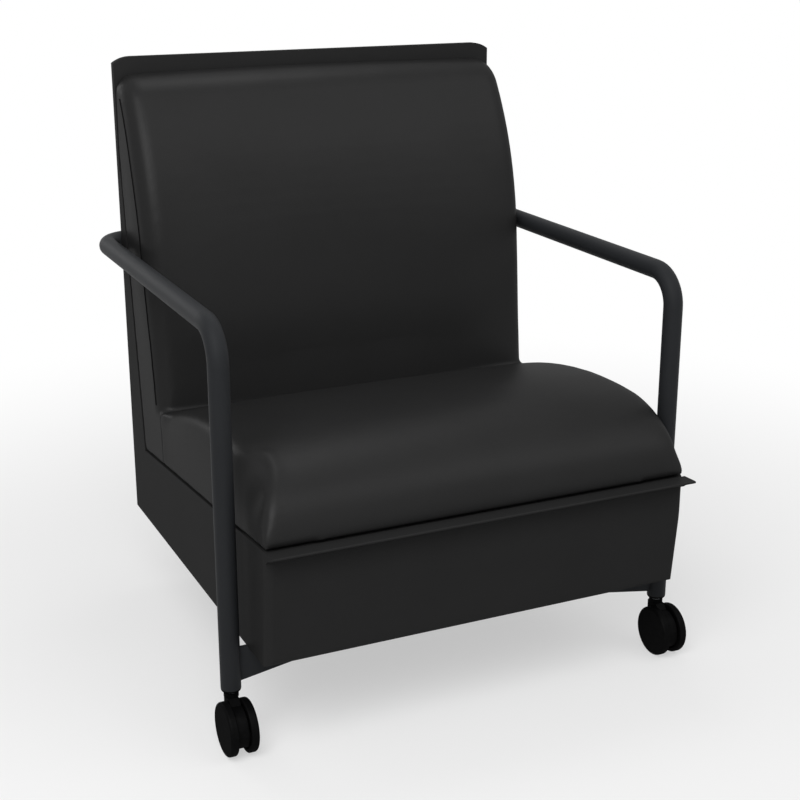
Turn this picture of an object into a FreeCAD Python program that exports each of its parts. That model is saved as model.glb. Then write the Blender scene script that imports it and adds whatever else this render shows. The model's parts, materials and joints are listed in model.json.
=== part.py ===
import FreeCAD, Part
import math
import os

from FreeCAD import Vector

# Lounge chair on four twin-wheel casters. Millimetres, +Z up, the front faces -Y, the floor is Z = 0.
# Left is -X as seen from the front.

# Upholstered body
BODY_WIDTH = 680.0
BODY_DEPTH = 681.0
BODY_TOP = 934.0
BASE_BOTTOM = 155.5
SEAM_FRONT_Z = 337.0
SEAT_PITCH = 5.1
BACK_RECLINE = 7.2
SHELL_FOOT = 81.0
SIDE_THICKNESS = 18.0
REAR_THICKNESS = 18.0
FRONT_THICKNESS = 20.0
FRONT_RAKE = 12.0
FRONT_BEND_Z = 271.0
FRONT_BEND_RADIUS = 220.0
FRONT_EDGE_RADIUS = 12.0
TOP_CORNER_RADIUS = 50.0
TOP_CORNER_RUN = 30.0
REAR_EDGE_RADIUS = 5.0
WEDGE_TIP = 4.0

# Lip along the top of the front panel
LIP_PROJECTION = 29.0
LIP_ROOT_HEIGHT = 17.0
LIP_NOSE = 3.2
LIP_RISE = 1.5

# Timber inside the body
RAIL_THICKNESS = 22.0
DECK_THICKNESS = 15.0
BOARD_THICKNESS = 12.0
RUNNER_WIDTH = 45.0
RUNNER_HEIGHT = 40.0
COVER_SHEET = 1.0
MOUNT_RAIL_HEIGHT = 90.0

# Bent steel tube
TUBE_OD = 30.0
TUBE_WALL = 2.0
BEND_RADIUS = 50.0
TUBE_GAP = 11.0
LEG_SETBACK = 92.0
LEG_END_Z = 94.0
ARM_TOP_Z = 643.0

# Steel under the base
PRESSED_THICKNESS = 5.0
FLANGE_DEPTH = 45.0
WEB_DEPTH = 38.0
WEB_DEPTH_AT_LEG = 53.0
WEB_FLARE_LENGTH = 90.0
WEB_FLARE_RADIUS = 150.0
REAR_MEMBER_OVERHANG = 24.0
BOX_WIDTH = 40.0
BOX_HEIGHT = 20.0
BOX_WALL = 2.0

# Fasteners
SADDLE_SPACING = 200.0
SADDLE_WIDTH = 44.0
SADDLE_HEIGHT = 40.0
SADDLE_WRAP = 5.0
SADDLE_CORNER = 6.0
SCREW_DIAMETER = 6.0
SCREW_HEAD = 12.0
SCREW_HEAD_PROUD = 2.5
SCREW_BITE = 6.0
BOLT_DIAMETER = 8.0
BOLT_HEAD_FLATS = 13.0
BOLT_HEAD_HEIGHT = 5.3
BOLT_BITE = 32.0
BOLT_FROM_FRONT_LEG = 120.0
BOLT_FROM_REAR_LEG = 110.0
HOLE_PLAY = 0.3
CLOSE_PLAY = 0.05

# Cushions
CUSHION_GAP = 0.4
CUSHION_SEAM_EDGE = 2.0
EDGE_STEPS = 5
SEAT_EDGE = 25.0
SEAT_CROWN = 8.0
SEAT_TOP_Z = 452.0
SEAT_ROLL_LOW_Z = 352.0
SEAT_ROLL_RADIUS = 72.0
SEAT_ROLL_TURN = 50.0
SEAT_DOME_RADIUS = 900.0
CREASE_DRAW = 0.2
BACK_BEND_DEPTH = 150.5
BACK_EDGE = 30.0
BACK_CROWN = 4.0
BACK_FRONT_LEAN = 5.2
BACK_BEND_Z = 628.0
BACK_BEND_RADIUS = 560.0
BACK_TOP_FLAT = 4.0
BACK_CUSHION_TOP = 911.5

# Casters
WHEEL_DIAMETER = 80.0
WHEEL_WIDTH = 12.5
WHEEL_SPACING = 31.0
WHEEL_EDGE = 4.0
WHEEL_INNER_EDGE = 2.0
WHEEL_RIM = 6.0
WHEEL_WEB = 4.0
HUB_DIAMETER = 20.0
CASTER_TRAIL = 21.5
CASTER_BODY_WIDTH = 15.5
CASTER_BODY_DIAMETER = 66.0
CASTER_BODY_CLEAR = 20.0
NECK_DIAMETER = 22.0
COLLAR_DIAMETER = 20.0
COLLAR_HEIGHT = 1.0
STEM_DIAMETER = 11.0
STEM_ABOVE_COLLAR = 26.0
STEM_TAIL_DIAMETER = 6.0
STEM_TAIL = 20.0
STEM_CHAMFER = 1.5
SOCKET_FLANGE = 4.5
SOCKET_DEPTH = 36.0
SWIVEL_GAP = 0.5
NECK_CLEAR = 0.5
AXLE_DIAMETER = 8.0
AXLE_INSET = 4.0
REAR_CASTER_INSET = 135.0
REAR_CASTER_SETBACK = 602.0

# Sizes that follow from those above
HALF_WIDTH = BODY_WIDTH / 2
TUBE_RADIUS = TUBE_OD / 2
LEG_X = HALF_WIDTH + TUBE_GAP + TUBE_RADIUS
OVERALL_DEPTH = LIP_PROJECTION + BODY_DEPTH + TUBE_GAP + TUBE_OD + SCREW_HEAD_PROUD
FRONT_Y = LIP_PROJECTION - OVERALL_DEPTH / 2
REAR_Y = FRONT_Y + BODY_DEPTH
REAR_INNER_Y = REAR_Y - REAR_THICKNESS
LEG_Y = FRONT_Y + LEG_SETBACK
RAIL_Y = REAR_Y + TUBE_GAP + TUBE_RADIUS
ARM_Z = ARM_TOP_Z - TUBE_RADIUS
REAR_CASTER_X = BODY_WIDTH / 2 - REAR_CASTER_INSET
REAR_CASTER_Y = FRONT_Y + REAR_CASTER_SETBACK
INNER_X = HALF_WIDTH - SIDE_THICKNESS
PITCH_SLOPE = math.tan(math.radians(SEAT_PITCH))
RECLINE_SLOPE = math.tan(math.radians(BACK_RECLINE))
CORNER_Y = REAR_Y - SHELL_FOOT
CORNER_Z = SEAM_FRONT_Z - (CORNER_Y - FRONT_Y) * PITCH_SLOPE
RAIL_BOTTOM = BASE_BOTTOM + COVER_SHEET
WHEEL_RADIUS = WHEEL_DIAMETER / 2
COLLAR_Z = LEG_END_Z - SOCKET_FLANGE - SWIVEL_GAP - COLLAR_HEIGHT
BOLT_ROWS = (LEG_Y + BOLT_FROM_FRONT_LEG, REAR_CASTER_Y - BOLT_FROM_REAR_LEG)
SADDLE_XS = (-SADDLE_SPACING, 0.0, SADDLE_SPACING)


def save(name, shape):
    shape.exportStep("parts/" + name + ".step")


def seam_z(y):
    """Height of the joint between base and seat cushion."""
    return SEAM_FRONT_Z - (y - FRONT_Y) * PITCH_SLOPE


def shell_y(z):
    """Front of the back shell at a height: the reclined line of the wedge."""
    return CORNER_Y + (z - CORNER_Z) * RECLINE_SLOPE


def shell_z(y):
    return CORNER_Z + (y - CORNER_Y) / RECLINE_SLOPE


def corner_arc(before, corner, after, radius):
    """Three points of the arc that rounds a corner: start, middle and end."""
    back = (before - corner).normalize()
    ahead = (after - corner).normalize()
    half = back.getAngle(ahead) / 2
    reach = radius / math.tan(half)
    middle = (back + ahead).normalize() * (radius / math.sin(half) - radius)
    return corner + back * reach, corner + middle, corner + ahead * reach


def rounded_wire(corners):
    """Closed outline through (point, radius) corners."""
    edges = []
    first = None
    last = None
    count = len(corners)
    for index in range(count):
        point, radius = corners[index]
        start, end = point, point
        if radius > 0:
            before = corners[index - 1][0]
            after = corners[(index + 1) % count][0]
            start, middle, end = corner_arc(before, point, after, radius)
        if last is None:
            first = start
        else:
            edges.append(Part.makeLine(last, start))
        if radius > 0:
            edges.append(Part.Arc(start, middle, end).toShape())
        last = end
    edges.append(Part.makeLine(last, first))
    return Part.Wire(edges)


def prism(corners, direction):
    return Part.Face(rounded_wire(corners)).extrude(direction)


def side_prism(corners, x0, x1):
    """Prism across X from (y, z, radius) corners."""
    points = [(Vector(x0, y, z), radius) for y, z, radius in corners]
    return prism(points, Vector(x1 - x0, 0, 0))


def box(x0, x1, y0, y1, z0, z1):
    return Part.makeBox(x1 - x0, y1 - y0, z1 - z0, Vector(x0, y0, z0))


def rod(diameter, start, end):
    axis = end - start
    return Part.makeCylinder(diameter / 2, axis.Length, start, axis)


def mirrored(shape):
    return shape.mirror(Vector(0, 0, 0), Vector(1, 0, 0))


def edges_where(shape, test):
    """Edges whose every vertex passes the test."""
    return [edge for edge in shape.Edges if all(test(vertex.Point) for vertex in edge.Vertexes)]


# Frame of bent tube

def tube_path():
    """Centreline from one front leg over the arms and behind the back to the other leg."""
    r = BEND_RADIUS
    short = r * (1 - math.sqrt(0.5))
    foot = Vector(-LEG_X, LEG_Y, LEG_END_Z)
    knee = Vector(-LEG_X, LEG_Y, ARM_Z - r)
    knee_mid = Vector(-LEG_X, LEG_Y + short, ARM_Z - short)
    arm_start = Vector(-LEG_X, LEG_Y + r, ARM_Z)
    arm_end = Vector(-LEG_X, RAIL_Y - r, ARM_Z)
    turn_mid = Vector(-LEG_X + short, RAIL_Y - short, ARM_Z)
    rail_start = Vector(-LEG_X + r, RAIL_Y, ARM_Z)
    left = [
        Part.makeLine(foot, knee),
        Part.Arc(knee, knee_mid, arm_start).toShape(),
        Part.makeLine(arm_start, arm_end),
        Part.Arc(arm_end, turn_mid, rail_start).toShape(),
    ]
    rail = Part.makeLine(rail_start, Vector(LEG_X - r, RAIL_Y, ARM_Z))
    right = [mirrored(edge) for edge in reversed(left)]
    return Part.Wire(Part.__sortEdges__(left + [rail] + right))


def swept(path, radius):
    circle = Part.makeCircle(radius, Vector(-LEG_X, LEG_Y, LEG_END_Z), Vector(0, 0, 1))
    return path.makePipeShell([Part.Wire([circle])], True, False)


def make_frame_tube():
    path = tube_path()
    tube = swept(path, TUBE_RADIUS).cut(swept(path, TUBE_RADIUS - TUBE_WALL))
    for x in SADDLE_XS:
        start = Vector(x, RAIL_Y - TUBE_OD, ARM_Z)
        end = Vector(x, RAIL_Y + TUBE_OD, ARM_Z)
        tube = tube.cut(rod(SCREW_DIAMETER + 2 * HOLE_PLAY, start, end))
    return tube


def make_front_crossmember():
    """Pressed angle between the legs; its web deepens towards each leg."""
    deep = BASE_BOTTOM - WEB_DEPTH_AT_LEG
    shallow = BASE_BOTTOM - WEB_DEPTH
    inner = LEG_X - TUBE_RADIUS - WEB_FLARE_LENGTH
    web_y = LEG_Y - PRESSED_THICKNESS / 2
    outline = [
        (Vector(-LEG_X, web_y, BASE_BOTTOM), 0),
        (Vector(-LEG_X, web_y, deep), 0),
        (Vector(-LEG_X + TUBE_RADIUS, web_y, deep), 0),
        (Vector(-inner, web_y, shallow), WEB_FLARE_RADIUS),
        (Vector(inner, web_y, shallow), WEB_FLARE_RADIUS),
        (Vector(LEG_X - TUBE_RADIUS, web_y, deep), 0),
        (Vector(LEG_X, web_y, deep), 0),
        (Vector(LEG_X, web_y, BASE_BOTTOM), 0),
    ]
    web = prism(outline, Vector(0, PRESSED_THICKNESS, 0))
    reach = HALF_WIDTH - PRESSED_THICKNESS
    flange = box(-reach, reach, web_y, web_y + FLANGE_DEPTH, BASE_BOTTOM - PRESSED_THICKNESS, BASE_BOTTOM)
    member = web.fuse(flange)
    for x in (-LEG_X, LEG_X):
        member = member.cut(rod(TUBE_OD, Vector(x, LEG_Y, 0), Vector(x, LEG_Y, ARM_Z)))
    return member.removeSplitter()


def make_rear_crossmember():
    """Pressed angle over the rear legs, web behind them."""
    half = REAR_CASTER_X + TUBE_RADIUS + REAR_MEMBER_OVERHANG
    front = REAR_CASTER_Y - FLANGE_DEPTH / 2
    web_front = REAR_CASTER_Y + TUBE_RADIUS + CLOSE_PLAY
    web_back = web_front + PRESSED_THICKNESS
    outline = [
        (front, BASE_BOTTOM, 0),
        (front, BASE_BOTTOM - PRESSED_THICKNESS, 0),
        (web_front, BASE_BOTTOM - PRESSED_THICKNESS, 0),
        (web_front, BASE_BOTTOM - WEB_DEPTH, 0),
        (web_back, BASE_BOTTOM - WEB_DEPTH, 0),
        (web_back, BASE_BOTTOM, PRESSED_THICKNESS),
    ]
    return side_prism(outline, -half, half)


def make_side_rail():
    """Box section between the crossmembers, on the right."""
    front = LEG_Y - PRESSED_THICKNESS / 2 + FLANGE_DEPTH
    back = REAR_CASTER_Y - FLANGE_DEPTH / 2
    x0 = REAR_CASTER_X - BOX_WIDTH / 2
    x1 = REAR_CASTER_X + BOX_WIDTH / 2
    bottom = BASE_BOTTOM - BOX_HEIGHT
    outer = box(x0, x1, front, back, bottom, BASE_BOTTOM)
    lengthwise = [edge for edge in outer.Edges if abs(edge.tangentAt(edge.FirstParameter).y) > 0.9]
    outer = outer.makeFillet(BOX_WALL, lengthwise)
    inner = box(x0 + BOX_WALL, x1 - BOX_WALL, front, back, bottom + BOX_WALL, BASE_BOTTOM - BOX_WALL)
    rail = outer.cut(inner)
    for y in BOLT_ROWS:
        low = Vector(REAR_CASTER_X, y, bottom - 1)
        high = Vector(REAR_CASTER_X, y, BASE_BOTTOM + 1)
        rail = rail.cut(rod(BOLT_DIAMETER + 2 * HOLE_PLAY, low, high))
    return rail


def make_rear_leg():
    low = Vector(REAR_CASTER_X, REAR_CASTER_Y, LEG_END_Z)
    high = Vector(REAR_CASTER_X, REAR_CASTER_Y, BASE_BOTTOM - PRESSED_THICKNESS)
    return rod(TUBE_OD, low, high).cut(rod(TUBE_OD - 2 * TUBE_WALL, low, high))


def make_rail_saddles():
    saddles = []
    rail = rod(TUBE_OD + 2 * CLOSE_PLAY, Vector(-LEG_X, RAIL_Y, ARM_Z), Vector(LEG_X, RAIL_Y, ARM_Z))
    for x in SADDLE_XS:
        x0 = x - SADDLE_WIDTH / 2
        x1 = x + SADDLE_WIDTH / 2
        z0 = ARM_Z - SADDLE_HEIGHT / 2
        z1 = ARM_Z + SADDLE_HEIGHT / 2
        block = box(x0, x1, REAR_Y, REAR_Y + TUBE_GAP + SADDLE_WRAP, z0, z1)
        upright = [edge for edge in block.Edges if abs(edge.tangentAt(edge.FirstParameter).y) > 0.9]
        block = block.makeFillet(SADDLE_CORNER, upright).cut(rail)
        start = Vector(x, REAR_Y - 1, ARM_Z)
        saddles.append(block.cut(rod(SCREW_DIAMETER + 2 * HOLE_PLAY, start, Vector(x, RAIL_Y, ARM_Z))))
    return Part.makeCompound(saddles)


def make_rail_screws():
    """Screws through the rear rail, their heads hollowed to sit on the tube."""
    screws = []
    rail = rod(TUBE_OD + 2 * CLOSE_PLAY, Vector(-LEG_X, RAIL_Y, ARM_Z), Vector(LEG_X, RAIL_Y, ARM_Z))
    tube_back = RAIL_Y + TUBE_RADIUS
    for x in SADDLE_XS:
        seat = Vector(x, tube_back - 2 * SCREW_HEAD_PROUD, ARM_Z)
        top = Vector(x, tube_back + SCREW_HEAD_PROUD, ARM_Z)
        head = rod(SCREW_HEAD, seat, top)
        rim = edges_where(head, lambda point: point.y > tube_back)
        head = head.makeFillet(SCREW_HEAD_PROUD * 0.7, rim)
        point = Vector(x, REAR_INNER_Y - SCREW_BITE, ARM_Z)
        shank = rod(SCREW_DIAMETER, point, Vector(x, tube_back + 1, ARM_Z))
        screws.append(head.cut(rail).fuse(shank).removeSplitter())
    return Part.makeCompound(screws)


def hexagon(flats, centre, height):
    points = []
    for step in range(7):
        angle = math.radians(60 * step)
        reach = flats / math.sqrt(3)
        points.append(centre + Vector(reach * math.cos(angle), reach * math.sin(angle), 0))
    return Part.Face(Part.makePolygon(points)).extrude(Vector(0, 0, height))


def make_base_bolts():
    bolts = []
    under = BASE_BOTTOM - BOX_HEIGHT
    for x in (-REAR_CASTER_X, REAR_CASTER_X):
        for y in BOLT_ROWS:
            head = hexagon(BOLT_HEAD_FLATS, Vector(x, y, under - BOLT_HEAD_HEIGHT), BOLT_HEAD_HEIGHT)
            shank = rod(BOLT_DIAMETER, Vector(x, y, under - 1), Vector(x, y, BASE_BOTTOM + BOLT_BITE))
            bolts.append(head.fuse(shank).removeSplitter())
    return Part.makeCompound(bolts)


# Body panels

def front_line(offset, top, bottom):
    """Profile of the front panel moved back by an offset: vertical, then raked back below the bend."""
    low = (FRONT_Y + FRONT_RAKE + offset, bottom, 0)
    bend = (FRONT_Y + offset, FRONT_BEND_Z, FRONT_BEND_RADIUS)
    high = (FRONT_Y + offset, top, 0)
    return [low, bend, high]


def make_front_panel():
    front = front_line(0, seam_z(FRONT_Y), BASE_BOTTOM)
    back = front_line(FRONT_THICKNESS, seam_z(FRONT_Y + FRONT_THICKNESS), BASE_BOTTOM)
    panel = side_prism(front + back[::-1], -HALF_WIDTH, HALF_WIDTH)

    def on_front_edge(point):
        reach = FRONT_Y
        if point.z < FRONT_BEND_Z + FRONT_BEND_RADIUS * 0.2:
            reach = FRONT_Y + FRONT_RAKE
        return abs(abs(point.x) - HALF_WIDTH) < 0.01 and point.y < reach + 0.01

    return panel.makeFillet(FRONT_EDGE_RADIUS, edges_where(panel, on_front_edge))


def make_front_lip():
    """Ledge along the top of the front panel, thick at the root and thin at its upturned nose."""
    top = seam_z(FRONT_Y)
    nose = FRONT_Y - LIP_PROJECTION
    outline = [
        (FRONT_Y, top, 0),
        (FRONT_Y, top - LIP_ROOT_HEIGHT, 0),
        (FRONT_Y - LIP_PROJECTION * 0.35, top - LIP_ROOT_HEIGHT * 0.55, 20),
        (nose, top + LIP_RISE - LIP_NOSE, LIP_NOSE * 0.45),
        (nose, top + LIP_RISE, LIP_NOSE * 0.45),
    ]
    return side_prism(outline, -HALF_WIDTH, HALF_WIDTH)


def shell_front(y0, y1):
    """Outline of the body seen from the front, eased at the two top corners, as a block from y0 to y1."""
    r = TOP_CORNER_RADIUS
    run = TOP_CORNER_RUN
    drop = r - math.sqrt(r * r - run * run)
    half_run = math.asin(run / r) / 2
    mid_in = r * math.sin(half_run)
    mid_drop = r - r * math.cos(half_run)
    left_low = Vector(-HALF_WIDTH, y0, BASE_BOTTOM)
    left_high = Vector(-HALF_WIDTH, y0, BODY_TOP - drop)
    left_mid = Vector(-HALF_WIDTH + run - mid_in, y0, BODY_TOP - mid_drop)
    left_top = Vector(-HALF_WIDTH + run, y0, BODY_TOP)
    right_top = Vector(HALF_WIDTH - run, y0, BODY_TOP)
    right_mid = Vector(HALF_WIDTH - run + mid_in, y0, BODY_TOP - mid_drop)
    right_high = Vector(HALF_WIDTH, y0, BODY_TOP - drop)
    right_low = Vector(HALF_WIDTH, y0, BASE_BOTTOM)
    edges = [
        Part.makeLine(left_low, left_high),
        Part.Arc(left_high, left_mid, left_top).toShape(),
        Part.makeLine(left_top, right_top),
        Part.Arc(right_top, right_mid, right_high).toShape(),
        Part.makeLine(right_high, right_low),
        Part.makeLine(right_low, left_low),
    ]
    return Part.Face(Part.Wire(edges)).extrude(Vector(0, y1 - y0, 0))


def make_rear_panel():
    panel = shell_front(REAR_INNER_Y, REAR_Y)
    rear = edges_where(panel, lambda point: point.y > REAR_Y - 0.01)
    rear = [edge for edge in rear if edge.CenterOfMass.z > BASE_BOTTOM + 1]
    panel = panel.makeFillet(REAR_EDGE_RADIUS, rear)
    for x in SADDLE_XS:
        start = Vector(x, REAR_INNER_Y - 1, ARM_Z)
        panel = panel.cut(rod(SCREW_DIAMETER + 2 * CLOSE_PLAY, start, Vector(x, RAIL_Y, ARM_Z)))
    return panel


def make_side_panel():
    """L-shaped side on the right: the base below the seat and the wedge behind the back."""
    front = front_line(FRONT_THICKNESS, seam_z(FRONT_Y + FRONT_THICKNESS), BASE_BOTTOM)
    tip_y = REAR_INNER_Y - WEDGE_TIP
    outline = front + [
        (CORNER_Y, CORNER_Z, 0),
        (tip_y, shell_z(tip_y), 0),
        (REAR_INNER_Y, shell_z(tip_y), 0),
        (REAR_INNER_Y, BASE_BOTTOM, 0),
    ]
    return side_prism(outline, INNER_X, HALF_WIDTH)


def make_base_front_rail():
    back = FRONT_Y + FRONT_THICKNESS + FRONT_RAKE + RAIL_THICKNESS
    top = seam_z(back) - DECK_THICKNESS / math.cos(math.radians(SEAT_PITCH))
    front = front_line(FRONT_THICKNESS, top, BASE_BOTTOM)
    block = side_prism(front + [(back, top, 0), (back, BASE_BOTTOM, 0)], -INNER_X, INNER_X)
    return block.cut(box(-HALF_WIDTH, HALF_WIDTH, FRONT_Y, REAR_Y, 0, RAIL_BOTTOM))


def make_base_rear_rail():
    front = REAR_INNER_Y - RAIL_THICKNESS
    drop = DECK_THICKNESS / math.cos(math.radians(SEAT_PITCH))
    outline = [
        (front, RAIL_BOTTOM, 0),
        (front, seam_z(front) - drop, 0),
        (REAR_INNER_Y, seam_z(REAR_INNER_Y) - drop, 0),
        (REAR_INNER_Y, RAIL_BOTTOM, 0),
    ]
    return side_prism(outline, -INNER_X, INNER_X)


def make_base_runner():
    """Timber over the right side rail; the base bolts bite into it."""
    front = FRONT_Y + FRONT_THICKNESS + FRONT_RAKE + RAIL_THICKNESS
    back = REAR_INNER_Y - RAIL_THICKNESS
    x0 = REAR_CASTER_X - RUNNER_WIDTH / 2
    x1 = REAR_CASTER_X + RUNNER_WIDTH / 2
    runner = box(x0, x1, front, back, RAIL_BOTTOM, RAIL_BOTTOM + RUNNER_HEIGHT)
    for y in BOLT_ROWS:
        low = Vector(REAR_CASTER_X, y, BASE_BOTTOM)
        high = Vector(REAR_CASTER_X, y, BASE_BOTTOM + BOLT_BITE + 2)
        runner = runner.cut(rod(BOLT_DIAMETER + 2 * CLOSE_PLAY, low, high))
    return runner


def make_seat_deck():
    drop = DECK_THICKNESS / math.cos(math.radians(SEAT_PITCH))
    front = FRONT_Y + FRONT_THICKNESS
    outline = [
        (front, seam_z(front) - drop, 0),
        (REAR_INNER_Y, seam_z(REAR_INNER_Y) - drop, 0),
        (REAR_INNER_Y, seam_z(REAR_INNER_Y), 0),
        (front, seam_z(front), 0),
    ]
    return side_prism(outline, -INNER_X, INNER_X)


def make_back_board():
    """Reclined board that stands on the deck and rests on the rear panel at its top."""
    depth = BOARD_THICKNESS / math.cos(math.radians(BACK_RECLINE))
    tip_y = REAR_INNER_Y - WEDGE_TIP
    foot_front = CORNER_Y
    foot_back = CORNER_Y + depth / (1 + PITCH_SLOPE * RECLINE_SLOPE)
    outline = [
        (foot_front, seam_z(foot_front), 0),
        (tip_y, shell_z(tip_y), 0),
        (REAR_INNER_Y, shell_z(tip_y), 0),
        (REAR_INNER_Y, shell_z(REAR_INNER_Y - depth), 0),
        (foot_back, seam_z(foot_back), 0),
    ]
    return side_prism(outline, -INNER_X, INNER_X)


def make_back_mount_rail():
    """Tapered strip behind the back board that the rail screws bite into."""
    depth = BOARD_THICKNESS / math.cos(math.radians(BACK_RECLINE))
    low = ARM_Z - MOUNT_RAIL_HEIGHT * 0.7
    high = ARM_Z + MOUNT_RAIL_HEIGHT * 0.3
    outline = [
        (shell_y(low) + depth, low, 0),
        (shell_y(high) + depth, high, 0),
        (REAR_INNER_Y, high, 0),
        (REAR_INNER_Y, low, 0),
    ]
    strip = side_prism(outline, -INNER_X, INNER_X)
    for x in SADDLE_XS:
        start = Vector(x, REAR_INNER_Y - SCREW_BITE - CLOSE_PLAY, ARM_Z)
        strip = strip.cut(rod(SCREW_DIAMETER + 2 * CLOSE_PLAY, start, Vector(x, RAIL_Y, ARM_Z)))
    return strip


def make_dust_cover():
    front = FRONT_Y + FRONT_THICKNESS + FRONT_RAKE
    sheet = box(-INNER_X, INNER_X, front, REAR_INNER_Y, BASE_BOTTOM, RAIL_BOTTOM)
    for x in (-REAR_CASTER_X, REAR_CASTER_X):
        for y in BOLT_ROWS:
            low = Vector(x, y, BASE_BOTTOM - 1)
            sheet = sheet.cut(rod(BOLT_DIAMETER + 4, low, Vector(x, y, RAIL_BOTTOM + 1)))
    return sheet


# Cushions

def polar(centre, radius, degrees):
    """Point on a circle in the side view; 0 points to the back, 90 points up."""
    angle = math.radians(degrees)
    return centre[0] + radius * math.cos(angle), centre[1] + radius * math.sin(angle)


def arc_through(x, start, middle, end):
    return Part.Arc(*[Vector(x, y, z) for y, z in (start, middle, end)]).toShape()


def side_arc(x, centre, radius, start, end):
    return arc_through(x, *[polar(centre, radius, angle) for angle in (start, (start + end) / 2, end)])


def side_path(x, points):
    """Straight edges through (y, z) points."""
    corners = [Vector(x, y, z) for y, z in points]
    return [Part.makeLine(a, b) for a, b in zip(corners, corners[1:])]


def seat_circles():
    """Centres and radii of the three arcs over the seat: front roll, shoulder and dome."""
    low = SEAT_ROLL_TURN
    roll_centre = (FRONT_Y + SEAT_ROLL_RADIUS, SEAT_ROLL_LOW_Z)
    join = polar(roll_centre, SEAT_ROLL_RADIUS, 180 - low)
    shoulder_radius = (SEAT_TOP_Z - join[1]) / (1 - math.sin(math.radians(low)))
    shoulder_centre = polar(join, shoulder_radius, -low)
    dome_centre = (shoulder_centre[0], SEAT_TOP_Z - SEAT_DOME_RADIUS)
    return roll_centre, shoulder_centre, shoulder_radius, dome_centre


def back_front_y(z):
    """Front of the back cushion on the straight stretch below its bend."""
    lean = math.tan(math.radians(BACK_FRONT_LEAN))
    return REAR_INNER_Y - BACK_BEND_DEPTH - (BACK_BEND_Z - z) * lean


def crossing(low, high, is_above):
    """Height between low and high where is_above turns true."""
    for _ in range(60):
        z = (low + high) / 2
        if is_above(z):
            high = z
        else:
            low = z
    return (low + high) / 2


def above_seam(z, y, gap):
    return z > seam_z(y) + gap


def crease_height(inset):
    """Height of the crease between seat and back; the seat's edge draws in less there than in front."""
    centre = seat_circles()[3]

    def above_dome(z):
        return math.hypot(back_front_y(z) - centre[0], z - centre[1]) > SEAT_DOME_RADIUS

    return crossing(CORNER_Z, SEAT_TOP_Z, above_dome) - inset * CREASE_DRAW


def seat_section(x, inset, lift):
    """Side profile of the seat cushion. The sides draw in little at the seam and fully on top."""
    roll_centre, shoulder_centre, shoulder_radius, dome_centre = seat_circles()
    gap = CUSHION_GAP + lift
    heel_z = crossing(BASE_BOTTOM, SEAT_TOP_Z, lambda z: above_seam(z, back_front_y(z), gap))
    heel = (back_front_y(heel_z) - CUSHION_GAP, heel_z)
    toe = (FRONT_Y + lift, seam_z(FRONT_Y + lift) + gap)
    roll_end = 180 - SEAT_ROLL_TURN
    roll_mid = polar(roll_centre, SEAT_ROLL_RADIUS - inset * 0.3, 180 - SEAT_ROLL_TURN * 0.3)
    join = polar(roll_centre, SEAT_ROLL_RADIUS - inset * 0.6, roll_end)
    shoulder_mid = polar(shoulder_centre, shoulder_radius - inset * 0.82, (roll_end + 90) / 2)
    dome_start = polar(dome_centre, SEAT_DOME_RADIUS - inset, 90)
    crease_z = crease_height(inset)
    crease = (back_front_y(crease_z) - CUSHION_GAP, crease_z)
    crease_angle = math.degrees(math.atan2(crease[1] - dome_centre[1], crease[0] - dome_centre[0]))
    dome_mid = polar(dome_centre, SEAT_DOME_RADIUS - inset * (1 + CREASE_DRAW) / 2, (90 + crease_angle) / 2)
    edges = side_path(x, [heel, toe])
    edges.append(arc_through(x, toe, roll_mid, join))
    edges.append(arc_through(x, join, shoulder_mid, dome_start))
    edges.append(arc_through(x, dome_start, dome_mid, crease))
    edges += side_path(x, [crease, heel])
    return Part.Wire(edges)


def back_circles():
    """Centre of the long bend in the back cushion, and centre, radius and start angle of the turn on top."""
    start = (back_front_y(BACK_BEND_Z), BACK_BEND_Z)
    bend_centre = polar(start, BACK_BEND_RADIUS, -BACK_FRONT_LEAN)
    rise = BACK_CUSHION_TOP - bend_centre[1]
    run = bend_centre[0] - (REAR_INNER_Y - CUSHION_GAP - BACK_TOP_FLAT)
    radius = (BACK_BEND_RADIUS ** 2 - run ** 2 - rise ** 2) / (2 * (BACK_BEND_RADIUS - rise))
    top_centre = (bend_centre[0] - run, BACK_CUSHION_TOP - radius)
    turn = math.degrees(math.atan2(rise - radius, run))
    return bend_centre, top_centre, radius, turn


def back_section(x, inset, lift):
    """Side profile of the back cushion, which runs down behind the seat to the deck."""
    bend_centre, top_centre, top_radius, turn = back_circles()
    gap = CUSHION_GAP + lift
    bend = BACK_BEND_RADIUS - inset
    lower = polar(bend_centre, bend, 180 - BACK_FRONT_LEAN)
    step = lower[0] - back_front_y(lower[1])
    foot_z = crossing(BASE_BOTTOM, SEAT_TOP_Z, lambda z: above_seam(z, back_front_y(z), gap))
    foot = (back_front_y(foot_z) + CUSHION_GAP, foot_z)
    shelf_z = crease_height(inset)
    shelf = (back_front_y(shelf_z) + CUSHION_GAP, shelf_z)
    chin_z = shelf_z + 2 * CUSHION_GAP
    chin = (back_front_y(chin_z) + step, chin_z)
    heel_z = crossing(BASE_BOTTOM, SEAT_TOP_Z, lambda z: above_seam(z, shell_y(z) - gap, gap))
    heel = (shell_y(heel_z) - gap, heel_z)
    wall_y = REAR_INNER_Y - gap
    top = polar(top_centre, top_radius - inset, 90)
    edges = side_path(x, [foot, shelf, chin, lower])
    edges.append(side_arc(x, bend_centre, bend, 180 - BACK_FRONT_LEAN, 180 - turn))
    edges.append(side_arc(x, top_centre, top_radius - inset, 180 - turn, 90))
    edges += side_path(x, [top, (wall_y, top[1]), (wall_y, shell_z(REAR_INNER_Y)), heel, foot])
    return Part.Wire(edges)


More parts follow.
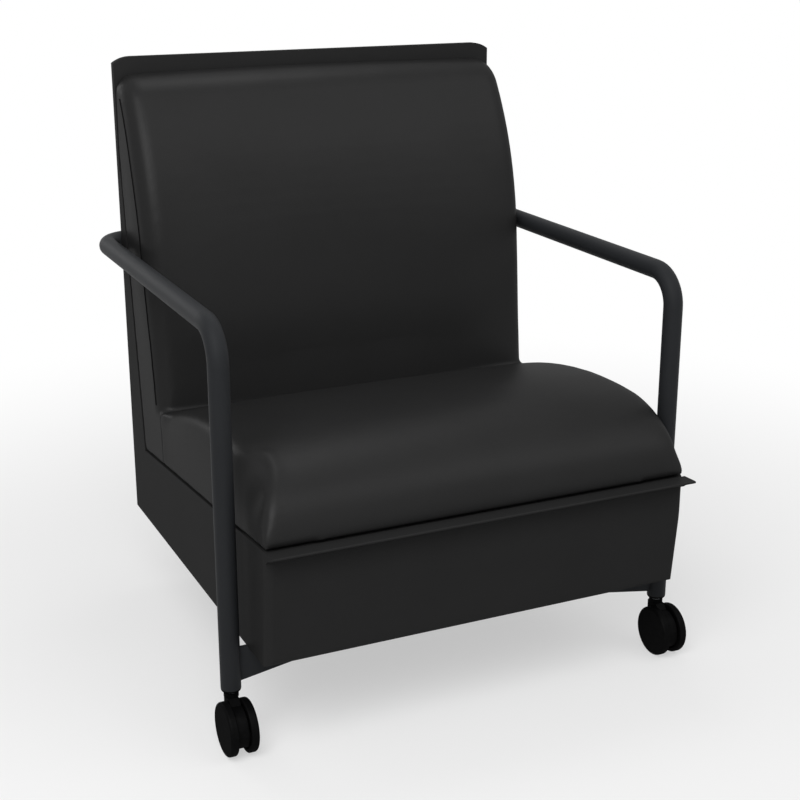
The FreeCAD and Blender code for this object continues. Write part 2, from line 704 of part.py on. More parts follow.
def cushion_sections(section, crown, edge):
    """Sections across the chair: rounded edge, crowned middle, rounded edge."""
    right = []
    flat = HALF_WIDTH - edge
    for share in (0.0, 0.35, 0.7):
        right.append((flat * share, crown * share * share, 0.0))
    for step in range(EDGE_STEPS + 1):
        angle = math.radians(90.0 * step / EDGE_STEPS)
        draw = 1 - math.cos(angle)
        x = flat + edge * math.sin(angle)
        right.append((x, crown + edge * draw, CUSHION_SEAM_EDGE * draw))
    left = [(-x, inset, lift) for x, inset, lift in reversed(right[1:])]
    return [section(x, inset, lift) for x, inset, lift in left + right]


def make_cushion(section, crown, edge):
    return Part.makeLoft(cushion_sections(section, crown, edge), True, True)


# Casters, drawn for a swivel axis at X = Y = 0

def make_caster_body():
    """Hood between the wheels with a neck on the swivel axis."""
    half = CASTER_BODY_WIDTH / 2
    centre = Vector(-half, -CASTER_TRAIL, WHEEL_RADIUS)
    disc = rod(CASTER_BODY_DIAMETER, centre, centre + Vector(CASTER_BODY_WIDTH, 0, 0))
    below = CASTER_BODY_DIAMETER
    disc = disc.cut(box(-half - 1, half + 1, -CASTER_TRAIL - below, below, -below, CASTER_BODY_CLEAR))
    neck_low = WHEEL_DIAMETER + NECK_CLEAR
    reach = NECK_DIAMETER / 2
    spine = side_prism([
        (-CASTER_TRAIL, WHEEL_RADIUS, 0),
        (reach, WHEEL_RADIUS + reach, reach / 2),
        (reach, neck_low + NECK_CLEAR, 0),
        (-reach, neck_low + NECK_CLEAR, 0),
        (-CASTER_TRAIL, WHEEL_RADIUS + CASTER_BODY_DIAMETER / 2 - NECK_CLEAR, 0),
    ], -half, half)
    neck = rod(NECK_DIAMETER, Vector(0, 0, neck_low), Vector(0, 0, COLLAR_Z))
    body = disc.fuse(spine).fuse(neck).removeSplitter()
    hole_end = Vector(0, 0, COLLAR_Z - STEM_TAIL)
    hole = rod(STEM_TAIL_DIAMETER + 2 * CLOSE_PLAY, hole_end, Vector(0, 0, COLLAR_Z + 1))
    bore = AXLE_DIAMETER + 2 * CLOSE_PLAY
    axle_room = rod(bore, centre - Vector(half, 0, 0), centre + Vector(CASTER_BODY_WIDTH + half, 0, 0))
    return body.cut(hole).cut(axle_room)


def make_stem():
    """Plated pin with the collar that shows under the leg."""
    collar_top = COLLAR_Z + COLLAR_HEIGHT
    tip_z = collar_top + STEM_ABOVE_COLLAR
    collar = rod(COLLAR_DIAMETER, Vector(0, 0, COLLAR_Z), Vector(0, 0, collar_top))
    pin = rod(STEM_DIAMETER, Vector(0, 0, COLLAR_Z), Vector(0, 0, tip_z))
    pin = pin.makeChamfer(STEM_CHAMFER, edges_where(pin, lambda point: point.z > tip_z - 0.01))
    tail_end = Vector(0, 0, COLLAR_Z - STEM_TAIL + CLOSE_PLAY)
    tail = rod(STEM_TAIL_DIAMETER, tail_end, Vector(0, 0, collar_top))
    return pin.fuse(collar).fuse(tail).removeSplitter()


def make_socket():
    """Plug in the leg end: a flange with a soft edge and a bore for the stem."""
    flange_low = LEG_END_Z - SOCKET_FLANGE
    flange = rod(TUBE_OD - 0.3, Vector(0, 0, flange_low), Vector(0, 0, LEG_END_Z))
    lower_rim = edges_where(flange, lambda point: point.z < flange_low + 0.01)
    flange = flange.makeFillet(SOCKET_FLANGE * 0.8, lower_rim)
    plug_diameter = TUBE_OD - 2 * TUBE_WALL - 2 * CLOSE_PLAY
    plug = rod(plug_diameter, Vector(0, 0, LEG_END_Z), Vector(0, 0, LEG_END_Z + SOCKET_DEPTH))
    bore_top = flange_low + STEM_ABOVE_COLLAR + STEM_CHAMFER
    bore = rod(STEM_DIAMETER + 2 * CLOSE_PLAY, Vector(0, 0, flange_low - 1), Vector(0, 0, bore_top))
    return flange.fuse(plug).removeSplitter().cut(bore)


def make_axle():
    half = WHEEL_SPACING / 2 + WHEEL_WIDTH / 2 - AXLE_INSET
    centre = Vector(0, -CASTER_TRAIL, WHEEL_RADIUS)
    return rod(AXLE_DIAMETER, centre - Vector(half, 0, 0), centre + Vector(half, 0, 0))


def make_wheel(side):
    """One wheel: closed disc outside, hollow inside round the hub."""
    inner = WHEEL_SPACING / 2 - WHEEL_WIDTH / 2
    outer = inner + WHEEL_WIDTH
    r = WHEEL_RADIUS
    hub = HUB_DIAMETER / 2
    bore = AXLE_DIAMETER / 2 + CLOSE_PLAY
    bore_end = outer - AXLE_INSET + 0.5
    outline = [
        (inner, bore, 0),
        (inner, hub, 0),
        (outer - WHEEL_WEB, hub + 1, 0),
        (outer - WHEEL_WEB, r - WHEEL_RIM - 1, 0),
        (inner, r - WHEEL_RIM, 0),
        (inner, r, WHEEL_INNER_EDGE),
        (outer, r, WHEEL_EDGE),
        (outer, 0, 0),
        (bore_end, 0, 0),
        (bore_end, bore, 0),
    ]
    corners = [(Vector(side * x, -CASTER_TRAIL, r + out), edge) for x, out, edge in outline]
    face = Part.Face(rounded_wire(corners))
    return face.revolve(Vector(0, -CASTER_TRAIL, WHEEL_RADIUS), Vector(1, 0, 0), 360)


def save_caster(name, x, y):
    pieces = {
        "socket": make_socket(),
        "stem": make_stem(),
        "body": make_caster_body(),
        "axle": make_axle(),
        "wheel_left": make_wheel(-1),
        "wheel_right": make_wheel(1),
    }
    for piece, shape in pieces.items():
        save("caster_" + name + "_" + piece, shape.translated(Vector(x, y, 0)))


def save_pair(name, right):
    save(name + "_right", right)
    save(name + "_left", mirrored(right))


os.makedirs("parts", exist_ok=True)
save("frame_tube", make_frame_tube())
save("front_crossmember", make_front_crossmember())
save("rear_crossmember", make_rear_crossmember())
save_pair("side_rail", make_side_rail())
save_pair("rear_leg", make_rear_leg())
save("rail_saddles", make_rail_saddles())
save("rail_screws", make_rail_screws())
save("base_bolts", make_base_bolts())
save("front_panel", make_front_panel())
save("front_lip", make_front_lip())
save("rear_panel", make_rear_panel())
save_pair("side_panel", make_side_panel())
save("base_front_rail", make_base_front_rail())
save("base_rear_rail", make_base_rear_rail())
save_pair("base_runner", make_base_runner())
save("seat_deck", make_seat_deck())
save("back_board", make_back_board())
save("back_mount_rail", make_back_mount_rail())
save("dust_cover", make_dust_cover())
save("seat_cushion", make_cushion(seat_section, SEAT_CROWN, SEAT_EDGE))
save("back_cushion", make_cushion(back_section, BACK_CROWN, BACK_EDGE))
save_caster("front_left", -LEG_X, LEG_Y)
save_caster("front_right", LEG_X, LEG_Y)
save_caster("rear_left", -REAR_CASTER_X, REAR_CASTER_Y)
save_caster("rear_right", REAR_CASTER_X, REAR_CASTER_Y)
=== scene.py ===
import json
import math

import bmesh
import bpy
import numpy
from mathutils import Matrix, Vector


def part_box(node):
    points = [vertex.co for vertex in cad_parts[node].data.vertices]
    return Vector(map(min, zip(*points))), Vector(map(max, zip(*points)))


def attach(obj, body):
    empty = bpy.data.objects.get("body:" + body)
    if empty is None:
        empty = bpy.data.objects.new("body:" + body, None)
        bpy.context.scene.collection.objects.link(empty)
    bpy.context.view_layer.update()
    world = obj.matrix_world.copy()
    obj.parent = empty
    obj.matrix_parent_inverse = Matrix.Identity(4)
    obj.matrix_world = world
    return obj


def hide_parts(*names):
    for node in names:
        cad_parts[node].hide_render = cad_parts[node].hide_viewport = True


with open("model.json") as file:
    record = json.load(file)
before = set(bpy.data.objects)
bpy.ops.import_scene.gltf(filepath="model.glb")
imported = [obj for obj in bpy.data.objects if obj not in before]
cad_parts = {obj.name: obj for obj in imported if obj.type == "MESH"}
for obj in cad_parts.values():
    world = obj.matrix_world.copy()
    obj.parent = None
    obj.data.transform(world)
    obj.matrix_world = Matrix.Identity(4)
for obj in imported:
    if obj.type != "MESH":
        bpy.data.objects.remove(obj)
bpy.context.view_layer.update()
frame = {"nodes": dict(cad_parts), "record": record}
NODES = frame["nodes"]
SCENE = bpy.context.scene

# Camera, fitted to the photo, in metres and degrees, with lens and sensor in millimetres
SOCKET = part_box("caster_front_left_socket")
LEG_Y = (SOCKET[0].y + SOCKET[1].y) / 2
CAMERA_PLACE = (-0.9459, -1.8275 + LEG_Y, 1.1585)
CAMERA_PITCH = 71.711
CAMERA_TURN = -24.914
CAMERA_LENS = 66.73
CAMERA_SENSOR = 36.0

# Lines that the padding rests on, in metres and degrees
SEAM_FRONT_Z = 0.337
SEAM_FALL = 5.1
SHELL_LEAN = 7.2
SHELL_DEPTH = 0.081
REAR_THICK = 0.018
BACK_LEAN = 5.2
BACK_DEPTH = 0.1505
BACK_BEND_Z = 0.628
BACK_BEND_RADIUS = 0.560
CREASE_Z = 0.432
FRONT_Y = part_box("front_panel")[0].y
REAR_INNER_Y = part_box("rear_panel")[0].y
SEAM_SLOPE = math.tan(math.radians(SEAM_FALL))
SHELL_SLOPE = math.tan(math.radians(SHELL_LEAN))
SHELL_CORNER_Y = REAR_INNER_Y + REAR_THICK - SHELL_DEPTH
SHELL_CORNER_Z = SEAM_FRONT_Z - (SHELL_CORNER_Y - FRONT_Y) * SEAM_SLOPE
BACK_SLOPE = math.tan(math.radians(BACK_LEAN))
BACK_BEND_Y = REAR_INNER_Y - BACK_DEPTH

# Padding, in metres: mesh size, the seat's tuck into the back, limits of the swelling, and the shell's seam
VOXEL = 0.006
TUCK = 0.008
SHRINK = 0.003
PUFF_CAP = 0.004
DRAW_CAP = 0.001
HELD_WITHIN = 0.004
FREE_BEYOND = 0.045
SEAM_WIDTH = 0.0016
SEAM_SNAP = 0.0035

# Swelling: the pressure inside the cover, the frames it acts for, and the rounds of evening out
PRESSURE = 4.0
SIM_FRAMES = 10
EVEN_ROUNDS = 60
SOFTEN_ROUNDS = 30

# Fold at the seat's left front corner, where the cover is drawn in behind a rolled edge, in metres
ROLL_LINE = (
    (-0.300, -0.245, 0.436),
    (-0.302, -0.281, 0.427),
    (-0.317, -0.322, 0.401),
    (-0.334, -0.345, 0.354),
)
ROLL_RISE = 0.0022
ROLL_REACH = 0.013
DRAW_LINE = ((-0.335, -0.262, 0.430), (-0.340, -0.285, 0.402))
DRAW_IN = 0.013
DRAW_REACH = 0.034

# Seam on each side of the back, behind its front, in metres
SIDE_SEAM_Z = (0.390, 0.872)
SIDE_SEAM_BACK = 0.0235
SIDE_SEAM_SPREAD = 0.05
SIDE_SEAM_POINTS = 60
SIDE_SEAM_THICK = 0.0009
SIDE_SEAM_PROUD = 0.0004
SIDE_SEAM_REACH = 0.36

# Colours, linear, and the range of a texture that a finish makes use of
VINYL = (0.0150, 0.0150, 0.0151)
SHELL = (0.0158, 0.0158, 0.0159)
PAINT = (0.0154, 0.0164, 0.0180)
BLACK = (0.0026, 0.0026, 0.0027)
ZINC = (0.42, 0.43, 0.45)
BIRCH = (0.46, 0.31, 0.17)
CLOTH = (0.012, 0.012, 0.013)
# The side seams' colour is painted shade: the cushion vinyl darkened to stand for the shade in the seam's
# groove
SEAM_PAINTED_SHADE = 0.3
TEXTURE_LOW = 0.3
TEXTURE_HIGH = 0.7

# Light, in watts and metres
FLOOR_REACH = 9.0
FLOOR_FADE = (0.45, 1.9)
FLOOR_GLOW = 0.51
FLOOR_WHITE = 0.71
FLOOR_BOUNCE = 0.65
SKY = 0.35
LAMP_AIM = (0, 0, 0.45)
LAMPS = {
    "key": {"place": (-1.3, -1.7, 2.3), "size": 1.9, "power": 66.0},
    "fill": {"place": (1.4, -1.6, 2.7), "size": 2.0, "power": 20.0},
    "top": {"place": (0.2, 0.5, 2.4), "size": 0.8, "power": 7.0},
    "rim": {"place": (-1.2, 2.2, 1.35), "size": 0.9, "power": 8.0},
}


def smooth_step(low, high, values):
    t = numpy.clip((values - low) / (high - low), 0, 1)
    return t * t * (3 - 2 * t)


def shade(colour, factor):
    return tuple(value * factor for value in colour)


# Node helpers
def new_material(name, colour, roughness, metallic=0.0, specular=0.5, coat=0.0):
    """A finish with one reflecting layer: its own, or a thin clear coat over a dull ground."""
    material = bpy.data.materials.new(name)
    material.use_nodes = True
    shader = material.node_tree.nodes["Principled BSDF"]
    shader.inputs["Base Color"].default_value = (*colour, 1)
    shader.inputs["Roughness"].default_value = roughness
    shader.inputs["Metallic"].default_value = metallic
    shader.inputs["Specular IOR Level"].default_value = specular
    shader.inputs["Coat Weight"].default_value = coat
    shader.inputs["Coat Roughness"].default_value = roughness
    return material, shader


def add_node(material, kind, inputs=None, **settings):
    node = material.node_tree.nodes.new(kind)
    for name, value in settings.items():
        setattr(node, name, value)
    for name, value in (inputs or {}).items():
        node.inputs[name].default_value = value
    return node


def join(material, source, target):
    material.node_tree.links.new(source, target)


def object_place(material, stretch=(1, 1, 1)):
    """Coordinates in metres that stay with the piece."""
    place = add_node(material, "ShaderNodeTexCoord")
    mapping = add_node(material, "ShaderNodeMapping", {"Scale": stretch})
    join(material, place.outputs["Object"], mapping.inputs["Vector"])
    return mapping.outputs["Vector"]


def noise(material, place, scale, detail=2.0, roughness=0.5):
    settings = {"Scale": scale, "Detail": detail, "Roughness": roughness}
    node = add_node(material, "ShaderNodeTexNoise", settings)
    join(material, place, node.inputs["Vector"])
    return node.outputs["Fac"]


def cells(material, place, scale, randomness=1.0):
    settings = {"Scale": scale, "Randomness": randomness}
    node = add_node(material, "ShaderNodeTexVoronoi", settings)
    join(material, place, node.inputs["Vector"])
    return node.outputs["Distance"]


def ramp(material, source, low, high, start=TEXTURE_LOW, end=TEXTURE_HIGH):
    """A colour that runs between two others."""
    node = add_node(material, "ShaderNodeValToRGB")
    first, last = node.color_ramp.elements
    first.position, last.position = start, end
    first.color, last.color = (*low, 1), (*high, 1)
    join(material, source, node.inputs["Fac"])
    return node.outputs["Color"]


def spread(material, source, low, high):
    """A texture stretched to the range that a roughness needs."""
    settings = {"From Min": TEXTURE_LOW, "From Max": TEXTURE_HIGH, "To Min": low, "To Max": high}
    node = add_node(material, "ShaderNodeMapRange", settings)
    join(material, source, node.inputs["Value"])
    return node.outputs["Result"]


def bump(material, height, distance, strength, under=None):
    node = add_node(material, "ShaderNodeBump", {"Strength": strength, "Distance": distance})
    join(material, height, node.inputs["Height"])
    if under is not None:
        join(material, under, node.inputs["Normal"])
    return node.outputs["Normal"]


# Materials
def make_vinyl(name, colour, grain, roughness, coat):
    """Coated upholstery cloth: pebbled grain, fine creases and a slow drift of tone."""
    material, shader = new_material(name, colour, roughness, specular=0.0, coat=coat)
    place = object_place(material)
    crease = noise(material, place, scale=grain * 0.35, detail=4.0, roughness=0.6)
    drift = noise(material, place, scale=9.0, detail=3.0)
    waves = noise(material, place, scale=14.0)
    tone = ramp(material, drift, shade(colour, 0.96), shade(colour, 1.04))
    dullness = spread(material, crease, low=roughness - 0.05, high=roughness + 0.06)
    pebble = bump(material, cells(material, place, scale=grain), distance=0.0004, strength=0.28)
    creased = bump(material, crease, distance=0.0006, strength=0.18, under=pebble)
    soft = bump(material, waves, distance=0.004, strength=0.05, under=creased)
    join(material, tone, shader.inputs["Base Color"])
    join(material, dullness, shader.inputs["Roughness"])
    join(material, soft, shader.inputs["Normal"])
    join(material, soft, shader.inputs["Coat Normal"])
    return material


def make_powder_coat(name, colour):
    """Baked powder on steel, with its orange peel."""
    material, shader = new_material(name, colour, roughness=0.58, specular=0.085)
    place = object_place(material)
    speck = noise(material, place, scale=2600.0, detail=1.0)
    drift = noise(material, place, scale=6.0)
    waves = noise(material, place, scale=620.0)
    tone = ramp(material, drift, shade(colour, 0.92), shade(colour, 1.08))
    dullness = spread(material, speck, low=0.54, high=0.64)
    fine = bump(material, speck, distance=0.00012, strength=0.2)
    peel = bump(material, waves, distance=0.0004, strength=0.22, under=fine)
    join(material, tone, shader.inputs["Base Color"])
    join(material, dullness, shader.inputs["Roughness"])
    join(material, peel, shader.inputs["Normal"])
    return material


def make_moulded(name, colour, roughness, grain):
    """Moulded nylon or tread with a fine grain and a few scuffs."""
    material, shader = new_material(name, colour, roughness, specular=0.0, coat=0.05)
    place = object_place(material)
    scuff = noise(material, place, scale=90.0, detail=4.0, roughness=0.65)
    pores = noise(material, place, scale=grain, detail=3.0, roughness=0.6)
    tone = ramp(material, scuff, colour, shade(colour, 1.7), start=0.45, end=0.85)
    dullness = spread(material, scuff, low=roughness - 0.05, high=roughness + 0.08)
    grained = bump(material, pores, distance=0.0002, strength=0.22)
    join(material, tone, shader.inputs["Base Color"])
    join(material, dullness, shader.inputs["Roughness"])
    join(material, grained, shader.inputs["Normal"])
    join(material, grained, shader.inputs["Coat Normal"])
    return material


def make_plated(name):
    """Zinc plate with turning marks."""
    material, shader = new_material(name, ZINC, roughness=0.34, metallic=1.0)
    place = object_place(material, stretch=(1, 1, 14))
    lines = noise(material, place, scale=160.0, detail=4.0, roughness=0.6)
    patches = noise(material, place, scale=40.0)
    tone = ramp(material, patches, shade(ZINC, 0.85), shade(ZINC, 1.15))
    dullness = spread(material, lines, low=0.27, high=0.42)
    marks = bump(material, lines, distance=0.0001, strength=0.25)
    join(material, tone, shader.inputs["Base Color"])
    join(material, dullness, shader.inputs["Roughness"])
    join(material, marks, shader.inputs["Normal"])
    return material


def make_timber(name):
    """Birch ply and rails, with their long grain."""
    material, shader = new_material(name, BIRCH, roughness=0.62, specular=0.3)
    place = object_place(material, stretch=(0.12, 1, 1))
    rings = add_node(material, "ShaderNodeTexWave", {"Scale": 55.0, "Distortion": 5.0, "Detail": 3.0})
    join(material, place, rings.inputs["Vector"])
    pores = noise(material, place, scale=420.0, detail=3.0)
    tone = ramp(material, rings.outputs["Fac"], shade(BIRCH, 0.68), BIRCH, start=0.1, end=0.8)
    dullness = spread(material, pores, low=0.55, high=0.72)
    grain = bump(material, pores, distance=0.0003, strength=0.3)
    join(material, tone, shader.inputs["Base Color"])
    join(material, dullness, shader.inputs["Roughness"])
    join(material, grain, shader.inputs["Normal"])
    return material


def make_dust_cloth(name):
    """Black spun-bonded cloth with its dot pattern."""
    material, shader = new_material(name, CLOTH, roughness=0.85, specular=0.2)
    place = object_place(material)
    fibre = noise(material, place, scale=900.0, detail=4.0, roughness=0.7)
    spots = cells(material, place, scale=480.0, randomness=0.15)
    tone = ramp(material, fibre, shade(CLOTH, 0.7), shade(CLOTH, 1.6))
    dullness = spread(material, fibre, low=0.78, high=0.92)
    fuzz = bump(material, fibre, distance=0.0002, strength=0.3)
    dots = bump(material, spots, distance=0.0003, strength=0.4, under=fuzz)
    join(material, tone, shader.inputs["Base Color"])
    join(material, dullness, shader.inputs["Roughness"])
    join(material, dots, shader.inputs["Normal"])
    return material


def dress_nodes():
    """Gives every CAD node the material of its slot."""
    looks = {
        "frame_paint": make_powder_coat("frame_powder", PAINT),
        "shell_cover": make_vinyl("shell_vinyl", SHELL, grain=1150.0, roughness=0.45, coat=0.12),
        "cushion_cover": make_vinyl("cushion_vinyl", VINYL, grain=950.0, roughness=0.34, coat=0.16),
        "timber": make_timber("birch_ply"),
        "dust_cloth": make_dust_cloth("dust_cloth_black"),
        "plated_steel": make_plated("zinc_plate"),
        "caster_black": make_moulded("nylon_black", BLACK, roughness=0.42, grain=1500.0),
        "wheel_black": make_moulded("tread_black", BLACK, roughness=0.48, grain=1100.0),
    }
    for part in frame["record"]["subparts"]:
        for place in NODES[part["node"]].material_slots:
            place.material = looks[part["material_slot"]]
    return looks


# Padding
def link_piece(name, data):
    piece = bpy.data.objects.new(name, data)
    SCENE.collection.objects.link(piece)
    return piece


def evaluated_mesh(piece):
    """The piece's mesh with its modifiers worked in."""
    depsgraph = bpy.context.evaluated_depsgraph_get()
    return bpy.data.meshes.new_from_object(piece.evaluated_get(depsgraph))


def even_mesh(node, tuck=0.0):
    """The node's form in even squares. A tuck pushes its rear face back, under the neighbour's cover."""
    rough = NODES[node].data.copy()
    rear_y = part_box(node)[1].y - 2 * TUCK
    for vertex in rough.vertices:
        if vertex.co.y > rear_y:
            vertex.co.y += tuck
    target = link_piece(node + "_form", rough)
    piece = link_piece(node + "_even", rough.copy())
    remesh = piece.modifiers.new("remesh", "REMESH")
    remesh.mode = "VOXEL"
    remesh.voxel_size = VOXEL
    fit = piece.modifiers.new("fit", "SHRINKWRAP")
    fit.target = target
    even = evaluated_mesh(piece)
    bpy.data.objects.remove(piece)
    bpy.data.objects.remove(target)
    return even


def joined_padding():
    """Seat and back as one upholstered piece, with the seat's rear tucked into the back."""
    both = bmesh.new()
    both.from_mesh(even_mesh("seat_cushion", TUCK))
    both.from_mesh(even_mesh("back_cushion"))
    mesh = bpy.data.meshes.new("padding")
    both.to_mesh(mesh)
    both.free()
    return mesh


def before_back(points):
    """How far each point lies before the plane of the back's front."""
    return BACK_BEND_Y - (BACK_BEND_Z - points[:, 2]) * BACK_SLOPE - points[:, 1]


def freedom(points):
    """0 where the shell's seams and the crease hold the cover, rising to 1 where it is free to swell."""
    y, z = points[:, 1], points[:, 2]
    above_seat = z - (SEAM_FRONT_Z - (y - FRONT_Y) * SEAM_SLOPE)
    before_shell = SHELL_CORNER_Y + (z - SHELL_CORNER_Z) * SHELL_SLOPE - y
    before_wall = REAR_INNER_Y - y
    from_crease = numpy.hypot(before_back(points), numpy.maximum(z - CREASE_Z, 0))
    nearest = numpy.minimum.reduce([above_seat, before_shell, before_wall, from_crease])
    return smooth_step(HELD_WITHIN, FREE_BEYOND, nearest)


def swell(piece, free):
    """Blows the cover up from inside with the cloth solver and returns where each point went."""
    held = piece.vertex_groups.new(name="held")
    for index, amount in enumerate(free):
        held.add([index], 1 - amount, "REPLACE")
    cloth = piece.modifiers.new("cloth", "CLOTH")
    cloth.settings.vertex_group_mass = "held"
    cloth.settings.use_pressure = True
    cloth.settings.uniform_pressure_force = PRESSURE
    cloth.settings.effector_weights.gravity = 0
    cloth.point_cache.frame_end = SIM_FRAMES
    for number in range(1, SIM_FRAMES + 1):
        SCENE.frame_set(number)
    blown = evaluated_mesh(piece)
    moved = read_points(blown)
    piece.modifiers.remove(cloth)
    piece.vertex_groups.remove(held)
    bpy.data.meshes.remove(blown)
    SCENE.frame_set(1)
    return moved


def read_points(mesh, what="co"):
    flat = numpy.empty(len(mesh.vertices) * 3)
    mesh.vertices.foreach_get(what, flat)
    return flat.reshape(-1, 3)


def place_points(mesh, points):
    mesh.vertices.foreach_set("co", points.ravel())
    mesh.update()


def even_out(mesh, amounts, rounds):
    """Spreads an amount per point over its neighbours, as tight foam spreads a swelling."""
    ends = numpy.empty(len(mesh.edges) * 2, dtype=int)
    mesh.edges.foreach_get("vertices", ends)
    one, other = ends[0::2], ends[1::2]
    count = len(amounts)
    around = numpy.bincount(one, minlength=count) + numpy.bincount(other, minlength=count)
    for _ in range(rounds):
        total = numpy.bincount(one, amounts[other], count) + numpy.bincount(other, amounts[one], count)
        amounts = (amounts + total / around) / 2
    return amounts


def soft_cap(amounts):
    """Keeps the swelling and the drawing in within a few millimetres."""
    swollen = PUFF_CAP * numpy.tanh(amounts / PUFF_CAP)
    drawn = DRAW_CAP * numpy.tanh(amounts / DRAW_CAP)
    return numpy.where(amounts > 0, swollen, drawn)


def soften_seat(mesh, points, free):
    """Rounds the seat's long edges, as the foam under the cover does."""
    soft = numpy.column_stack([even_out(mesh, column, SOFTEN_ROUNDS) for column in points.T])
    share = free * (before_back(points) > 0)
    return points + (soft - points) * share[:, None]


def trim(points):
    """Lays the cover's lowest points straight along the shell, so that an even dark seam shows there."""
    seat_line = (Vector((0, FRONT_Y, SEAM_FRONT_Z)), Vector((0, SEAM_SLOPE, 1)).normalized())
    shell_line = (Vector((0, SHELL_CORNER_Y, SHELL_CORNER_Z)), Vector((0, -1, SHELL_SLOPE)).normalized())
    for place, inward in (seat_line, shell_line):
        height = (points - place) @ inward
        lift = numpy.where(height < SEAM_SNAP, SEAM_WIDTH - height, 0)
        points = points + lift[:, None] * inward
    return points


def line_distance(points, line):
    """How far each point lies from a line of straight pieces."""
    nearest = numpy.full(len(points), numpy.inf)
    for start, end in zip(line, line[1:]):
        run = numpy.subtract(end, start)
        share = numpy.clip((points - start) @ run / (run @ run), 0, 1)
        foot = start + share[:, None] * run
        nearest = numpy.minimum(nearest, numpy.linalg.norm(points - foot, axis=1))
    return nearest


def bell(distance, reach):
    return numpy.exp(-((distance / reach) ** 2))


def fold_corner(points, outward):
    """Draws the cover in beside the seat's left front corner and leaves a rolled edge before the hollow."""
    rise = ROLL_RISE * bell(line_distance(points, ROLL_LINE), ROLL_REACH)
    folded = points + outward * rise[:, None]
    folded[:, 0] += DRAW_IN * bell(line_distance(points, DRAW_LINE), DRAW_REACH)
    return folded


def make_padding(material):
    """The padding starts a little small, is blown up, and keeps the evened-out part of the swelling."""
    mesh = joined_padding()
    points = read_points(mesh)
    outward = read_points(mesh, "normal")
    free = freedom(points)
    piece = link_piece("padding", mesh)
    place_points(mesh, points - outward * (SHRINK * free)[:, None])
    swelling = ((swell(piece, free) - points) * outward).sum(axis=1)
    points = points + outward * even_out(mesh, soft_cap(swelling), EVEN_ROUNDS)[:, None]
    points = soften_seat(mesh, points, free)
    place_points(mesh, trim(fold_corner(points, outward)))
    mesh.materials.clear()
    mesh.materials.append(material)
    mesh.shade_smooth()
    finer = piece.modifiers.new("finer", "SUBSURF")
    finer.levels = 1
    finer.render_levels = 1
    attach(piece, "chair")
    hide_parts("seat_cushion", "back_cushion")
    return piece


def side_seam_path(side, padding):
    """Points on the padding's side, a little behind the line of its front."""
    low, high = SIDE_SEAM_Z
    for z in numpy.linspace(low, high, SIDE_SEAM_POINTS):
        above_bend = max(z - BACK_BEND_Z, 0)
        front = BACK_BEND_Y + (z - BACK_BEND_Z) * BACK_SLOPE + above_bend ** 2 / (2 * BACK_BEND_RADIUS)
        y = front + SIDE_SEAM_BACK + (z - low) * SIDE_SEAM_SPREAD
        _, place, normal, _ = padding.closest_point_on_mesh((side * SIDE_SEAM_REACH, y, z))
        yield place + normal * SIDE_SEAM_PROUD


def make_side_seam(name, side, padding, material):
    """The seam between the side and the front of the back's cover, as a thin tube in painted shade: its
    dark colour stands for the shade in the seam's groove.
    """
    line = bpy.data.curves.new(name, "CURVE")
    line.dimensions = "3D"
    line.bevel_depth = SIDE_SEAM_THICK
    line.use_fill_caps = True
    path = line.splines.new("POLY")
    path.points.add(SIDE_SEAM_POINTS - 1)
    for point, place in zip(path.points, side_seam_path(side, padding)):
        point.co = (*place, 1)
    drawn = link_piece(name + "_line", line)
    seam = link_piece(name, evaluated_mesh(drawn))
    bpy.data.objects.remove(drawn)
    seam.data.materials.clear()
    seam.data.materials.append(material)
    seam.data.shade_smooth()
    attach(seam, "chair")


# Studio
def make_camera():
    data = bpy.data.cameras.new("camera")
    data.lens = CAMERA_LENS
    data.sensor_width = CAMERA_SENSOR
    camera = bpy.data.objects.new("camera", data)
    camera.location = CAMERA_PLACE
    camera.rotation_euler = (math.radians(CAMERA_PITCH), 0, math.radians(CAMERA_TURN))
    SCENE.collection.objects.link(camera)
    SCENE.camera = camera


def make_lamp(name, place, size, power):
    data = bpy.data.lights.new(name, "AREA")
    data.energy = power
    data.size = size
    lamp = bpy.data.objects.new(name, data)
    lamp.location = place
    aim = Vector(LAMP_AIM) - Vector(place)
    lamp.rotation_euler = aim.to_track_quat("-Z", "Y").to_euler()
    SCENE.collection.objects.link(lamp)


def background_ray(material):
    """1 for the rays that should see plain white: the camera's, and reflected or refracted ones."""
    path = add_node(material, "ShaderNodeLightPath")
    gloss = add_node(material, "ShaderNodeMath", operation="MAXIMUM")
    join(material, path.outputs["Is Camera Ray"], gloss.inputs[0])
    join(material, path.outputs["Is Glossy Ray"], gloss.inputs[1])
    both = add_node(material, "ShaderNodeMath", operation="MAXIMUM")
    join(material, gloss.outputs[0], both.inputs[0])
    join(material, path.outputs["Is Transmission Ray"], both.inputs[1])
    return both.outputs[0]


def mix_shaders(material, amount, one, other):
    node = add_node(material, "ShaderNodeMixShader")
    join(material, amount, node.inputs[0])
    join(material, one, node.inputs[1])
    join(material, other, node.inputs[2])
    return node.outputs[0]


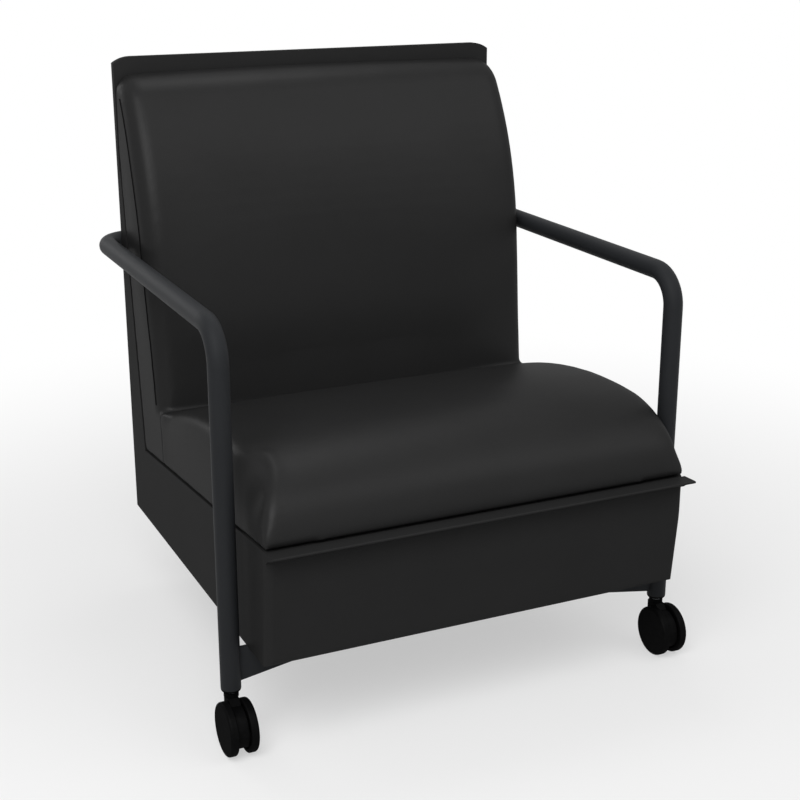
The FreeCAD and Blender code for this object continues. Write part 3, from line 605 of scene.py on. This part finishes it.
def make_world():
    world = bpy.data.worlds.new("studio")
    world.use_nodes = True
    SCENE.world = world
    sky = world.node_tree.nodes["Background"]
    level = add_node(world, "ShaderNodeMapRange", {"To Min": SKY, "To Max": 1.0})
    join(world, background_ray(world), level.inputs["Value"])
    join(world, level.outputs["Result"], sky.inputs["Strength"])
    sky.inputs["Color"].default_value = (1, 1, 1, 1)


def make_floor_look():
    """A pale ground that keeps the chair's shadow and turns plain white further out."""
    material, shader = new_material("floor_white", (FLOOR_WHITE,) * 3, roughness=0.9, specular=0.1)
    place = add_node(material, "ShaderNodeTexCoord")
    length = add_node(material, "ShaderNodeVectorMath", operation="LENGTH")
    join(material, place.outputs["Object"], length.inputs[0])
    near, far = FLOOR_FADE
    reach = {"From Min": near, "From Max": far, "To Min": FLOOR_GLOW, "To Max": 1.0}
    fade = add_node(material, "ShaderNodeMapRange", reach, interpolation_type="SMOOTHSTEP")
    join(material, length.outputs["Value"], fade.inputs["Value"])
    white = add_node(material, "ShaderNodeEmission", {"Strength": 1.0})
    shown = mix_shaders(material, fade.outputs["Result"], shader.outputs[0], white.outputs[0])
    bounce = (FLOOR_BOUNCE, FLOOR_BOUNCE, FLOOR_BOUNCE, 1)
    dim = add_node(material, "ShaderNodeBsdfDiffuse", {"Color": bounce})
    result = mix_shaders(material, background_ray(material), dim.outputs[0], shown)
    join(material, result, material.node_tree.nodes["Material Output"].inputs["Surface"])
    return material


def make_floor():
    mesh = bmesh.new()
    bmesh.ops.create_grid(mesh, x_segments=1, y_segments=1, size=FLOOR_REACH)
    data = bpy.data.meshes.new("floor")
    mesh.to_mesh(data)
    mesh.free()
    data.materials.append(make_floor_look())
    floor = link_piece("floor", data)


make_camera()
make_world()
make_floor()
for lamp_name, lamp in LAMPS.items():
    make_lamp(lamp_name, **lamp)
LOOKS = dress_nodes()
PADDING = make_padding(LOOKS["cushion_cover"])
# The side seams' material: cushion vinyl darkened to painted shade
PAINTED_SHADE_SEAM_LOOK = make_vinyl("seam_vinyl_painted_shade", shade(VINYL, SEAM_PAINTED_SHADE), grain=950.0, roughness=0.6, coat=0.02)
make_side_seam("side_seam_shade_left", -1, PADDING, PAINTED_SHADE_SEAM_LOOK)
make_side_seam("side_seam_shade_right", 1, PADDING, PAINTED_SHADE_SEAM_LOOK)
SCENE.view_settings.view_transform = "Standard"
